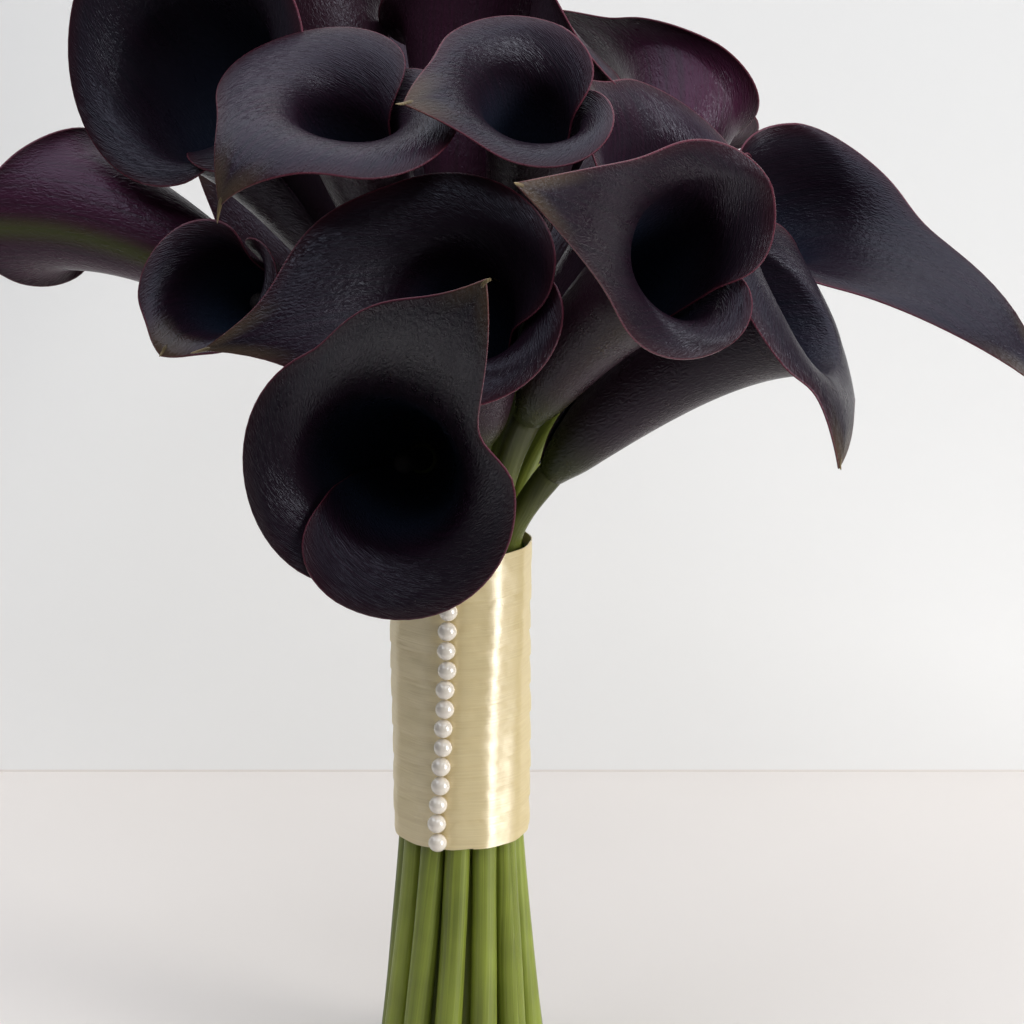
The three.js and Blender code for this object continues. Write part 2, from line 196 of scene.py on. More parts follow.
def bundlePoint(slot, z):
    radius = 0
    angle = 0
    if slot > handle["innerCount"]:
        radius = handle["outerRadius"]
        turn = 360 / handle["outerCount"]
        angle = handle["outerAngle"] + turn * (slot - 1 - handle["innerCount"])
    elif slot > 0:
        radius = handle["innerRadius"]
        angle = handle["innerAngle"] + 360 / handle["innerCount"] * (slot - 1)
    opened = 1 - z / handle["wrapBottom"] if z < handle["wrapBottom"] else 0
    reach = radius * (1 + (handle["footSpread"] - 1) * opened * (0.75 + 0.25 * opened))
    turned = math.radians(angle + handle["twistPerMm"] * (z - handle["wrapTop"]))
    return np.array([reach * math.sin(turned), -reach * math.cos(turned), z])


def centreLine(flower):
    azimuth = math.radians(flower["facing"][0])
    elevation = math.radians(flower["facing"][1])
    level = math.cos(elevation)
    facing = np.array([math.sin(azimuth) * level, -math.cos(azimuth) * level, math.sin(elevation)])
    mouth = np.array(flower["mouth"], float)
    top = bundlePoint(flower["slot"], handle["wrapTop"])
    lean = unit(top - bundlePoint(flower["slot"], handle["wrapTop"] - 1))
    distance = np.linalg.norm(mouth - top)
    a = mouth - facing * distance * flower["bend"]
    b = top + lean * distance * flower["rise"]
    t = np.linspace(0, 1, 81)[:, None]
    points = (1 - t) ** 3 * mouth + 3 * (1 - t) ** 2 * t * a + 3 * (1 - t) * t * t * b + t ** 3 * top
    down = [bundlePoint(flower["slot"], handle["wrapTop"] * (1 - i / 40)) for i in range(1, 41)]
    points = np.vstack([points, down])
    tangents = np.empty_like(points)
    tangents[1:-1] = unit(points[:-2] - points[2:])
    tangents[0] = facing
    tangents[-1] = unit(points[-2] - points[-1])
    side = unit(np.cross([0, 0, 1], facing))
    clock = math.radians(flower["tip"])
    normal = np.cross(facing, side) * math.cos(clock) + side * math.sin(clock)
    normals = []
    for tangent in tangents:
        normal = unit(normal - tangent * np.dot(normal, tangent))
        normals.append(normal)
    steps = np.linalg.norm(np.diff(points, axis=0), axis=1)
    return {"point": points, "tangent": tangents, "normal": np.array(normals),
            "across": np.cross(tangents, np.array(normals)),
            "travelled": np.concatenate([[0], np.cumsum(steps)])}


def frameAt(line, distance):
    distance = np.asarray(distance, float)
    found = {}
    for key in ("point", "tangent", "normal", "across"):
        columns = [np.interp(distance, line["travelled"], line[key][:, k]) for k in range(3)]
        mixed = np.stack(columns, -1)
        found[key] = mixed if key == "point" else unit(mixed)
    return found


# Middle points of the leaf along one line from base to margin. It also gives the distance from the
# base, from the margin and round the tube, and the length of the tube there.
def spatheColumn(flower, line, u, t):
    turn = u * (math.pi + flower["lap"])
    away = min(abs(turn), math.pi)
    toTip = ((1 + math.cos(away)) / 2) ** 2
    toSeam = ((1 - math.cos(away)) / 2) ** 2
    roll = math.radians(toTip * flower["rollTip"] + toSeam * flower["rollSeam"]
                        + (1 - toTip - toSeam) * flower["rollSide"])
    tubeHere = flower["tube"] - flower["drop"] * (1 - math.cos(away)) / 2
    flare = math.atan2(flower["throat"] - leaf["baseRadius"], flower["tube"])
    spread = math.radians(flower["tipSpread"])
    sides = 1 + flower["skew"] * math.sin(math.copysign(away, turn))
    sides *= 1 - leaf["seamCut"] * toSeam
    rim = flower["rim"] * sides * (1 + (flower["tipReach"] - 1) * toTip ** 2)
    margin = flower["rim"] * sides
    if abs(turn) < spread:
        toPoint = 1 / math.cos(spread - abs(turn)) - 1
        margin *= 1 + (flower["tipReach"] - 1) * toPoint / (1 / math.cos(spread) - 1)
        neck = flower["neck"][0 if turn < 0 else 1]
        margin *= 1 - neck * math.sin(math.pi * abs(turn) / spread) ** 2
    throatHere = leaf["baseRadius"] + tubeHere * math.tan(flare)
    steps = leaf["lipSteps"]
    angles = flare + (roll - flare) * ((np.arange(steps) + 0.5) / steps) ** flower["rollDelay"]
    lip = (rim - throatHere) / max(np.mean(np.sin(angles)), 0.2)
    outward = throatHere + lip / steps * np.concatenate([[0], np.cumsum(np.sin(angles))])
    onward = lip / steps * np.concatenate([[0], np.cumsum(np.cos(angles))])
    trimmed = lip / steps * np.interp(margin, outward, np.arange(steps + 1))
    lowEdge = leaf["lowEdge"] * tubeHere
    whole = lowEdge + (tubeHere + trimmed - lowEdge) * math.sqrt(max(0, 1 - abs(u) ** 7))
    s = whole * t
    alongLip = np.maximum(0, s - tubeHere) / lip * steps
    bulge = np.sin(math.pi * np.minimum(1, s / tubeHere) ** leaf["bellyLow"]) ** 2
    radius = np.where(s < tubeHere,
                      leaf["baseRadius"] + leaf["belly"] * bulge + s * math.tan(flare),
                      np.interp(alongLip, np.arange(steps + 1), outward))
    level = np.minimum(s, tubeHere) - flower["tube"] + np.interp(alongLip, np.arange(steps + 1), onward)
    heading = np.where(s < tubeHere, flare, np.interp(alongLip - 0.5, np.arange(steps), angles))
    layer = u * leaf["layerOffset"] * (1 + 1.2 * ease((s - 0.5 * tubeHere) / (0.6 * flower["tube"])))
    layer = layer * (0.35 + 0.65 * ease(s / 12))
    radius = radius + layer * np.cos(heading) - 0.75 * (1 - ease(s / 10))
    level = level - layer * np.sin(heading)
    inTube = np.minimum(0, s - flower["tube"])
    at = frameAt(line, -inTube)
    points = (at["point"] + at["tangent"] * (level - inTube)[:, None]
              + at["normal"] * (radius * math.cos(turn))[:, None]
              + at["across"] * (radius * math.sin(turn))[:, None])
    return points, s, whole - s, radius * turn, tubeHere


# Calla spathe: one thick waxy leaf, grown. It reads as nearly black, a very deep purple with a
# wine-red margin. Its wax gives a soft blue-grey gloss that shows fine crackled wrinkles.
spatheLook = {
    # throat: a painted bluish shade and sheen, laid deep inside the tube
    "inside": "#0f0c13", "outside": "#2a1a21", "purple": "#401b31", "bloomAndSheen": "#2a2b33",
    "throat": "#1f2736", "wine": "#2c1119", "rimLine": "#6b3340", "base": "#363a1c",
    "midrib": "#525c2c", "dry": "#877655", "crackleMm": 1.0, "veinMm": 1.1, "mottleMm": 14,
    "wineMm": 4.5, "lineMm": 0.45, "bump": 0.65, "bumpDepth": 0.0003, "smooth": 0.25, "dull": 0.36,
    "ior": 1.45, "gloss": 0.29, "glossTint": "#e6ecff",
}


def makeSpatheSkin():
    material, tree = newMaterial("waxyCallaSpathe")
    face = add(tree, "ShaderNodeAttribute", {"attribute_name": "face"})
    span = add(tree, "ShaderNodeAttribute", {"attribute_name": "span"})
    tint = add(tree, "ShaderNodeAttribute", {"attribute_name": "tint"})
    faceParts = add(tree, "ShaderNodeSeparateXYZ", None, {0: face.outputs["Vector"]})
    spanParts = add(tree, "ShaderNodeSeparateXYZ", None, {0: span.outputs["Vector"]})
    tintParts = add(tree, "ShaderNodeSeparateXYZ", None, {0: tint.outputs["Vector"]})
    mottle = add(tree, "ShaderNodeTexNoise", {"noise_dimensions": "3D"},
                 {"Vector": span.outputs["Vector"], "Scale": 1 / spatheLook["mottleMm"], "Detail": 3.0})
    # streaks run along the leaf, so the pattern is squeezed across it
    streakAt = add(tree, "ShaderNodeVectorMath", {"operation": "MULTIPLY"},
                   {0: span.outputs["Vector"], 1: (1 / spatheLook["veinMm"], 0.03, 0)})
    streaks = add(tree, "ShaderNodeTexNoise", {"noise_dimensions": "2D"},
                  {"Vector": streakAt.outputs[0], "Scale": 1.0, "Detail": 2.0})

    color = add(tree, "ShaderNodeMix", {"data_type": "RGBA"},
                {0: faceParts.outputs[0], 6: hexColor(spatheLook["outside"]),
                 7: hexColor(spatheLook["inside"])})
    purpleShare = add(tree, "ShaderNodeMath", {"operation": "MULTIPLY"},
                      {0: tintParts.outputs[0], 1: streaks.outputs[0]})
    purpleShare = add(tree, "ShaderNodeMath", {"operation": "MULTIPLY", "use_clamp": True},
                      {0: purpleShare.outputs[0], 1: 1.7})
    color = add(tree, "ShaderNodeMix", {"data_type": "RGBA"},
                {0: purpleShare.outputs[0], 6: color.outputs[2], 7: hexColor(spatheLook["purple"])})
    # a mottled greyish waxy bloom, and painted sheen where a bloom faces the light (the larger shares)
    bloomSheenShare = add(tree, "ShaderNodeMath", {"operation": "MULTIPLY"},
                    {0: tintParts.outputs[1], 1: mottle.outputs[0]})
    color = add(tree, "ShaderNodeMix", {"data_type": "RGBA"},
                {0: bloomSheenShare.outputs[0], 6: color.outputs[2], 7: hexColor(spatheLook["bloomAndSheen"])})
    # the tube turns green towards the stem, on its outside
    greenShare = add(tree, "ShaderNodeMath", {"operation": "MULTIPLY_ADD", "use_clamp": True},
                     {0: streaks.outputs[0], 1: 0.5, 2: -0.25})
    greenShare = add(tree, "ShaderNodeMath", {"operation": "ADD", "use_clamp": True},
                     {0: faceParts.outputs[2], 1: greenShare.outputs[0]})
    greenShare = add(tree, "ShaderNodeMath", {"operation": "MULTIPLY"},
                     {0: greenShare.outputs[0], 1: faceParts.outputs[2]})
    color = add(tree, "ShaderNodeMix", {"data_type": "RGBA"},
                {0: greenShare.outputs[0], 6: color.outputs[2], 7: hexColor(spatheLook["base"])})
    # painted shade and bluish sheen deep inside the tube, on the inner face only
    color = add(tree, "ShaderNodeMix", {"data_type": "RGBA"},
                {0: faceParts.outputs[1], 6: color.outputs[2], 7: hexColor(spatheLook["throat"])})
    rib = add(tree, "ShaderNodeAttribute", {"attribute_name": "rib"})
    color = add(tree, "ShaderNodeMix", {"data_type": "RGBA"},
                {0: rib.outputs["Fac"], 6: color.outputs[2], 7: hexColor(spatheLook["midrib"])})
    # a wine-red margin, with a paler red line where the leaf is thinnest
    wine = add(tree, "ShaderNodeMapRange", {"interpolation_type": "SMOOTHSTEP"},
               {0: spanParts.outputs[2], 1: 0.0, 2: spatheLook["wineMm"], 3: 0.7, 4: 0.0})
    color = add(tree, "ShaderNodeMix", {"data_type": "RGBA"},
                {0: wine.outputs[0], 6: color.outputs[2], 7: hexColor(spatheLook["wine"])})
    line = add(tree, "ShaderNodeMapRange", {"interpolation_type": "SMOOTHSTEP"},
               {0: spanParts.outputs[2], 1: 0.0, 2: spatheLook["lineMm"], 3: 0.6, 4: 0.0})
    color = add(tree, "ShaderNodeMix", {"data_type": "RGBA"},
                {0: line.outputs[0], 6: color.outputs[2], 7: hexColor(spatheLook["rimLine"])})
    color = add(tree, "ShaderNodeMix", {"data_type": "RGBA"},
                {0: tintParts.outputs[2], 6: color.outputs[2], 7: hexColor(spatheLook["dry"])})

    # the crackle is a net of wrinkles, bent by a noise and drawn out along the leaf
    bent = add(tree, "ShaderNodeTexNoise", {"noise_dimensions": "3D"},
               {"Vector": span.outputs["Vector"], "Scale": 0.5, "Detail": 2.0})
    bentAt = add(tree, "ShaderNodeVectorMath", {"operation": "MULTIPLY_ADD"},
                 {0: bent.outputs[1], 1: (2.2, 2.2, 0), 2: span.outputs["Vector"]})
    perMm = 1 / spatheLook["crackleMm"]
    crackleAt = add(tree, "ShaderNodeVectorMath", {"operation": "MULTIPLY"},
                    {0: bentAt.outputs[0], 1: (perMm, 0.3 * perMm, 0)})
    crackle = add(tree, "ShaderNodeTexVoronoi",
                  {"feature": "DISTANCE_TO_EDGE", "voronoi_dimensions": "2D"},
                  {"Vector": crackleAt.outputs[0], "Scale": 1.0})
    fine = add(tree, "ShaderNodeTexNoise", {"noise_dimensions": "2D"},
               {"Vector": crackleAt.outputs[0], "Scale": 2.2, "Detail": 3.0})
    height = add(tree, "ShaderNodeMath", {"operation": "MULTIPLY_ADD"},
                 {0: streaks.outputs[0], 1: 0.35, 2: crackle.outputs[0]})
    height = add(tree, "ShaderNodeMath", {"operation": "MULTIPLY_ADD"},
                 {0: fine.outputs[0], 1: 0.5, 2: height.outputs[0]})
    bump = add(tree, "ShaderNodeBump", None,
               {"Height": height.outputs[0], "Strength": spatheLook["bump"],
                "Distance": spatheLook["bumpDepth"]})
    gloss = add(tree, "ShaderNodeMapRange", None,
                {0: mottle.outputs[0], 1: 0.3, 2: 0.7, 3: spatheLook["smooth"], 4: spatheLook["dull"]})
    skin = add(tree, "ShaderNodeBsdfPrincipled", None,
               {"Base Color": color.outputs[2], "Roughness": gloss.outputs[0],
                "IOR": spatheLook["ior"], "Specular IOR Level": spatheLook["gloss"],
                "Specular Tint": hexColor(spatheLook["glossTint"]), "Normal": bump.outputs[0]})
    add(tree, "ShaderNodeOutputMaterial", None, {"Surface": skin.outputs[0]})
    return material


# Spadix: a rod of tiny packed flowers, dry and velvety, dark in these dark callas.
spadixLook = {"low": "#120c10", "high": "#3a2a22", "grainMm": 1.2, "bump": 0.4, "roughness": 0.85}


def makeSpadixSkin():
    material, tree = newMaterial("velvetSpadix")
    span = add(tree, "ShaderNodeAttribute", {"attribute_name": "span"})
    parts = add(tree, "ShaderNodeSeparateXYZ", None, {0: span.outputs["Vector"]})
    grains = add(tree, "ShaderNodeTexNoise", {"noise_dimensions": "3D"},
                 {"Vector": span.outputs["Vector"], "Scale": 1 / spadixLook["grainMm"], "Detail": 3.0})
    share = add(tree, "ShaderNodeMath", {"operation": "MULTIPLY", "use_clamp": True},
                {0: parts.outputs[2], 1: grains.outputs[0]})
    color = add(tree, "ShaderNodeMix", {"data_type": "RGBA"},
                {0: share.outputs[0], 6: hexColor(spadixLook["low"]), 7: hexColor(spadixLook["high"])})
    bump = add(tree, "ShaderNodeBump", None,
               {"Height": grains.outputs[0], "Strength": spadixLook["bump"], "Distance": 0.0003})
    skin = add(tree, "ShaderNodeBsdfPrincipled", None,
               {"Base Color": color.outputs[2], "Roughness": spadixLook["roughness"],
                "Normal": bump.outputs[0]})
    add(tree, "ShaderNodeOutputMaterial", None, {"Surface": skin.outputs[0]})
    return material


# Stem: a fleshy flower stalk with fine lengthwise ribs under a thin shining skin.
stemLook = {
    "dark": "#2b3211", "mid": "#66742a", "bright": "#94a03c", "neck": "#2a2819", "neckShare": 0.85,
    "neckMm": 60, "ribMm": 0.9, "blotchMm": 22, "bump": 0.5, "roughness": 0.42, "gloss": 0.4,
}


def makeStemSkin():
    material, tree = newMaterial("fleshyStemSkin")
    span = add(tree, "ShaderNodeAttribute", {"attribute_name": "span"})
    tint = add(tree, "ShaderNodeAttribute", {"attribute_name": "tint"})
    tintParts = add(tree, "ShaderNodeSeparateXYZ", None, {0: tint.outputs["Vector"]})
    ribAt = add(tree, "ShaderNodeVectorMath", {"operation": "MULTIPLY"},
                {0: span.outputs["Vector"], 1: (1 / stemLook["ribMm"], 0.012, 0)})
    ribs = add(tree, "ShaderNodeTexNoise", {"noise_dimensions": "2D"},
               {"Vector": ribAt.outputs[0], "Scale": 1.0, "Detail": 2.0})
    blotch = add(tree, "ShaderNodeTexNoise", {"noise_dimensions": "3D"},
                 {"Vector": span.outputs["Vector"], "Scale": 1 / stemLook["blotchMm"], "Detail": 2.0})
    color = add(tree, "ShaderNodeMix", {"data_type": "RGBA"},
                {0: tintParts.outputs[0], 6: hexColor(stemLook["dark"]), 7: hexColor(stemLook["mid"])})
    color = add(tree, "ShaderNodeMix", {"data_type": "RGBA"},
                {0: tintParts.outputs[1], 6: color.outputs[2], 7: hexColor(stemLook["bright"])})
    shade = add(tree, "ShaderNodeMapRange", None,
                {0: blotch.outputs[0], 1: 0.3, 2: 0.7, 3: 0.0, 4: 0.45})
    color = add(tree, "ShaderNodeMix", {"data_type": "RGBA"},
                {0: shade.outputs[0], 6: color.outputs[2], 7: hexColor(stemLook["dark"])})
    streak = add(tree, "ShaderNodeMapRange", None,
                 {0: ribs.outputs[0], 1: 0.35, 2: 0.75, 3: 0.0, 4: 0.4})
    color = add(tree, "ShaderNodeMix", {"data_type": "RGBA"},
                {0: streak.outputs[0], 6: color.outputs[2], 7: hexColor(stemLook["bright"])})
    # the stalk darkens to an olive brown just under the flower
    color = add(tree, "ShaderNodeMix", {"data_type": "RGBA"},
                {0: tintParts.outputs[2], 6: color.outputs[2], 7: hexColor(stemLook["neck"])})
    bump = add(tree, "ShaderNodeBump", None,
               {"Height": ribs.outputs[0], "Strength": stemLook["bump"], "Distance": 0.0003})
    skin = add(tree, "ShaderNodeBsdfPrincipled", None,
               {"Base Color": color.outputs[2], "Roughness": stemLook["roughness"],
                "Specular IOR Level": stemLook["gloss"],
                "Subsurface Weight": 0.12, "Subsurface Radius": (0.002, 0.004, 0.0008),
                "Subsurface Scale": 0.5, "Normal": bump.outputs[0]})
    add(tree, "ShaderNodeOutputMaterial", None, {"Surface": skin.outputs[0]})
    return material


# Ribbon: polyester satin, woven with long floats, so it gives a bright streak along the handle.
ribbonLook = {
    "base": "#d8c68f", "deep": "#c2aa6c", "glossTint": "#fffaf0", "threadMm": 0.5, "pullMm": 9,
    "roughness": 0.42, "ior": 2.3, "streak": 0.85, "bump": 0.3,
}


def makeSatin():
    material, tree = newMaterial("champagneSatin")
    span = add(tree, "ShaderNodeAttribute", {"attribute_name": "span"})
    # real threads are 0.1 mm apart; drawn five times as coarse, or they would not show
    threadAt = add(tree, "ShaderNodeVectorMath", {"operation": "MULTIPLY"},
                   {0: span.outputs["Vector"], 1: (0.05, 1 / ribbonLook["threadMm"], 0)})
    threads = add(tree, "ShaderNodeTexNoise", {"noise_dimensions": "2D"},
                  {"Vector": threadAt.outputs[0], "Scale": 1.0, "Detail": 3.0})
    pull = add(tree, "ShaderNodeTexNoise", {"noise_dimensions": "3D"},
               {"Vector": span.outputs["Vector"], "Scale": 1 / ribbonLook["pullMm"], "Detail": 2.0})
    color = add(tree, "ShaderNodeMix", {"data_type": "RGBA"},
                {0: threads.outputs[0], 6: hexColor(ribbonLook["base"]),
                 7: hexColor(ribbonLook["deep"])})
    height = add(tree, "ShaderNodeMath", {"operation": "MULTIPLY_ADD"},
                 {0: pull.outputs[0], 1: 5.0, 2: threads.outputs[0]})
    bump = add(tree, "ShaderNodeBump", None,
               {"Height": height.outputs[0], "Strength": ribbonLook["bump"], "Distance": 0.0003})
    aroundHandle = add(tree, "ShaderNodeTangent", {"direction_type": "RADIAL", "axis": "Z"})
    skin = add(tree, "ShaderNodeBsdfPrincipled", None,
               {"Base Color": color.outputs[2], "Roughness": ribbonLook["roughness"],
                "IOR": ribbonLook["ior"], "Specular IOR Level": 1.0,
                "Specular Tint": hexColor(ribbonLook["glossTint"]),
                "Anisotropic": ribbonLook["streak"], "Anisotropic Rotation": 0.25,
                "Tangent": aroundHandle.outputs[0], "Normal": bump.outputs[0]})
    add(tree, "ShaderNodeOutputMaterial", None, {"Surface": skin.outputs[0]})
    return material


# Florist's tape: crepe paper with wax in it, stretched round the stems, so it is dull and creased.
tapeLook = {"dark": "#4d6430", "light": "#6f8a49", "bump": 0.6, "roughness": 0.7}


def makeTape():
    material, tree = newMaterial("waxedCrepeTape")
    place = add(tree, "ShaderNodeTexCoord")
    creaseAt = add(tree, "ShaderNodeVectorMath", {"operation": "MULTIPLY"},
                   {0: place.outputs["Object"], 1: (300, 300, 1800)})
    creases = add(tree, "ShaderNodeTexNoise", {"noise_dimensions": "3D"},
                  {"Vector": creaseAt.outputs[0], "Scale": 1.0, "Detail": 3.0})
    color = add(tree, "ShaderNodeMix", {"data_type": "RGBA"},
                {0: creases.outputs[0], 6: hexColor(tapeLook["dark"]), 7: hexColor(tapeLook["light"])})
    bump = add(tree, "ShaderNodeBump", None,
               {"Height": creases.outputs[0], "Strength": tapeLook["bump"], "Distance": 0.0003})
    skin = add(tree, "ShaderNodeBsdfPrincipled", None,
               {"Base Color": color.outputs[2], "Roughness": tapeLook["roughness"],
                "Normal": bump.outputs[0]})
    add(tree, "ShaderNodeOutputMaterial", None, {"Surface": skin.outputs[0]})
    return material


# Pin heads: glass beads dipped in pearl essence, smooth, with a soft glow under the gloss.
pearlLook = {"warm": "#e6dece", "cool": "#d9cfc4", "roughness": 0.3, "coatRoughness": 0.05, "coatIor": 1.9}


def makePearl():
    material, tree = newMaterial("dippedPearl")
    place = add(tree, "ShaderNodeTexCoord")
    cloud = add(tree, "ShaderNodeTexNoise", {"noise_dimensions": "3D"},
                {"Vector": place.outputs["Object"], "Scale": 600.0, "Detail": 2.0})
    color = add(tree, "ShaderNodeMix", {"data_type": "RGBA"},
                {0: cloud.outputs[0], 6: hexColor(pearlLook["warm"]), 7: hexColor(pearlLook["cool"])})
    skin = add(tree, "ShaderNodeBsdfPrincipled", None,
               {"Base Color": color.outputs[2], "Roughness": pearlLook["roughness"],
                "Coat Weight": 1.0, "Coat Roughness": pearlLook["coatRoughness"],
                "Coat IOR": pearlLook["coatIor"]})
    add(tree, "ShaderNodeOutputMaterial", None, {"Surface": skin.outputs[0]})
    return material


spatheSkin = makeSpatheSkin()
spadixSkin = makeSpadixSkin()
stemSkin = makeStemSkin()
satin = makeSatin()
tapeSkin = makeTape()
pearlSkin = makePearl()
print("materials made")


# faces of a round body whose points come ring by ring, then one middle point for each end
def sweepFaces(rings, sides, firstPoint=0):
    faces = []
    for i in range(rings - 1):
        for k in range(sides):
            a = firstPoint + i * sides + k
            b = firstPoint + i * sides + (k + 1) % sides
            faces.append((a, b, b + sides, a + sides))
    low = firstPoint + rings * sides
    for k in range(sides):
        nextSide = (k + 1) % sides
        faces.append((low, firstPoint + nextSide, firstPoint + k))
        last = firstPoint + (rings - 1) * sides
        faces.append((low + 1, last + k, last + nextSide))
    return faces


def buildSpathe(letter, flower, line, columns, rows):
    us = np.linspace(-1, 1, columns + 1)
    us = us - 0.06 * np.sin(2 * math.pi * us)
    ts = 1 - (1 - np.linspace(0, 1, rows + 1)) ** 1.3
    made = [spatheColumn(flower, line, u, ts) for u in us]
    middle = np.array([m[0] for m in made])
    along = np.array([m[1] for m in made])
    toMargin = np.array([m[2] for m in made])
    across = np.array([m[3] for m in made])
    tubeHere = np.array([m[4] for m in made])[:, None]
    seed = ord(letter)
    # the lip of a real spathe wanders a little in and out
    normal = unit(np.cross(np.gradient(middle, axis=0), np.gradient(middle, axis=1)))
    lipShare = ease((along - tubeHere) / 30)
    calm = np.minimum(1, (1 - np.abs(us)) * 8)[:, None] * np.minimum(1, np.abs(us) * 10)[:, None]
    wave = wander(seed, us * 3.1, 0.55)[:, None] * lipShare * calm
    middle = middle + normal * wave[..., None] * leaf["wave"]
    normal = unit(np.cross(np.gradient(middle, axis=0), np.gradient(middle, axis=1)))
    widthStep = np.linalg.norm(np.gradient(middle, axis=0), axis=2)
    fromSide = np.minimum(np.cumsum(widthStep, axis=0), np.cumsum(widthStep[::-1], axis=0)[::-1])
    toEdge = np.minimum(toMargin, fromSide)
    thick = leaf["edge"] + (leaf["body"] - leaf["edge"]) * ease(toEdge / leaf["edgeWidth"])
    thick = thick * (0.35 + 0.65 * ease(along / 5))
    front = middle + normal * thick[..., None] / 2
    back = middle - normal * thick[..., None] / 2

    c = columns + 1
    r = rows + 1
    index = np.arange(c * r).reshape(c, r)
    faces = []
    a = index[:-1, :-1].ravel()
    b = index[1:, :-1].ravel()
    d = index[1:, 1:].ravel()
    e = index[:-1, 1:].ravel()
    faces += np.stack([a, b, d, e], 1).tolist()
    faces += (np.stack([a, e, d, b], 1) + c * r).tolist()
    loop = ([(i, 0) for i in range(c)] + [(c - 1, j) for j in range(1, r)]
            + [(i, r - 1) for i in range(c - 2, -1, -1)] + [(0, j) for j in range(r - 2, 0, -1)])
    outward = []
    for i, j in loop:
        push = np.zeros(3)
        if j == 0:
            push += middle[i, 0] - middle[i, 1]
        if j == r - 1:
            push += middle[i, -1] - middle[i, -2]
        if i == 0:
            push += middle[0, j] - middle[1, j]
        if i == c - 1:
            push += middle[-1, j] - middle[-2, j]
        outward.append(middle[i, j] + unit(push) * thick[i, j] * 0.42)
    first = 2 * c * r
    for k in range(len(loop)):
        n = (k + 1) % len(loop)
        f = index[loop[k]]
        g = index[loop[n]]
        faces.append((f, g, first + n, first + k))
        faces.append((first + k, first + n, g + c * r, f + c * r))

    # which side of the grid faces into the tube
    centre = frameAt(line, flower["tube"] * 0.5)["point"]
    probe = normal[columns // 2, rows // 4]
    frontIsInner = np.dot(centre - middle[columns // 2, rows // 4], probe) > 0
    # painted shade and sheen in the throat: full deep in the tube, fading out towards the lip
    throat = ease(1.15 - (along - 0.55 * tubeHere) / (0.42 * tubeHere))
    base = ease(1.05 - along / (0.32 * flower["tube"]))

    def flat(x):
        return np.broadcast_to(x, (c, r)).ravel()

    inner = np.ones(c * r) if frontIsInner else np.zeros(c * r)
    # face: inner side, share of painted throat shade and sheen, green base on the outside
    faceFront = np.stack([inner, flat(throat) * inner * flower["deep"], flat(base) * (1 - inner)], 1)
    faceBack = np.stack([1 - inner, flat(throat) * (1 - inner) * flower["deep"], flat(base) * inner], 1)
    span = np.stack([flat(across), flat(along), flat(toEdge)], 1)
    tipZone = ease(1.2 - np.hypot(toMargin, across) / 9)
    # tint: purple share, share of greyish bloom and painted sheen, dry tip
    tint = np.stack([np.full(c * r, flower["purple"]), np.full(c * r, flower["bloomAndSheen"]),
                     flat(tipZone) * 0.2], 1)
    # the green midrib shows on the outside of the leaf, in H only
    ribShare = flower["midrib"] * 0.65 * np.exp(-(across / 3.2) ** 2)
    ribShare = ribShare * ease(1 - np.abs(us)[:, None] * 4)
    ribFront = flat(ribShare) * (1 - inner)
    ribBack = flat(ribShare) * inner
    loopIndex = np.array([index[p] for p in loop])
    rimSpan = span[loopIndex].copy()
    rimSpan[:, 2] = 0
    points = np.vstack([front.reshape(-1, 3), back.reshape(-1, 3), outward])
    faceAll = np.vstack([faceFront, faceBack, (faceFront[loopIndex] + faceBack[loopIndex]) / 2])
    spanAll = np.vstack([span, span, rimSpan])
    tintAll = np.vstack([tint, tint, tint[loopIndex]])
    ribAll = np.concatenate([ribFront, ribBack, ribFront[loopIndex] * 0])

    tipPoint = middle[columns // 2, -1]
    heading = unit(tipPoint - middle[columns // 2, -4])
    lean = normal[columns // 2, -1] * (1 if frontIsInner else -1)
    sideways = np.cross(lean, heading)
    stations = hook["stations"]
    sides = hook["sides"]
    hookPoints = []
    position = tipPoint - heading * hook["root"]
    reach = flower["hook"] + hook["root"]
    for i in range(stations):
        share = i / (stations - 1)
        bent = max(0, share - 0.3) * 1.6
        inward = math.radians(flower["hookIn"]) * bent
        aside = math.radians(flower["hookSide"]) * bent
        direction = unit(heading + lean * math.tan(inward) + sideways * math.tan(aside))
        if i:
            position = position + direction * reach / (stations - 1)
        radius = hook["radius"] * (1 - share) ** 0.7 + hook["tipRadius"]
        radius *= ease(0.35 + share * 3)
        right = unit(np.cross(direction, lean + heading * 0.01))
        over = np.cross(right, direction)
        for k in range(sides):
            at = 2 * math.pi * k / sides
            hookPoints.append(position + radius * (right * math.cos(at) + over * math.sin(at)))
    hookPoints.append(tipPoint - heading * 3.5)
    hookPoints.append(position + direction * 0.1)
    start = len(points)
    faces += sweepFaces(stations, sides, start)
    count = len(hookPoints)
    points = np.vstack([points, hookPoints])
    points = np.clip(points, boxLow, boxHigh)  # no leaf passes the solid part's box
    dryness = np.concatenate([np.repeat(np.linspace(0.35, 1, stations), sides), [0.35, 1]])
    faceAll = np.vstack([faceAll, np.tile([1, 0, 0], (count, 1))])
    spanAll = np.vstack([spanAll, np.tile([0, 0, 9], (count, 1)) + np.array(hookPoints) * [1, 1, 0]])
    tintAll = np.vstack([tintAll, np.stack([dryness * 0, dryness * 0, dryness], 1)])
    ribAll = np.repeat(np.concatenate([ribAll, dryness * 0])[:, None], 3, 1)

    made = meshObject(f"spathe_{letter}", points, faces, spatheSkin,
                      {"face": faceAll, "span": spanAll, "tint": tintAll, "rib": ribAll})
    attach(made, "root")
    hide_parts(f"bloom_{letter}")


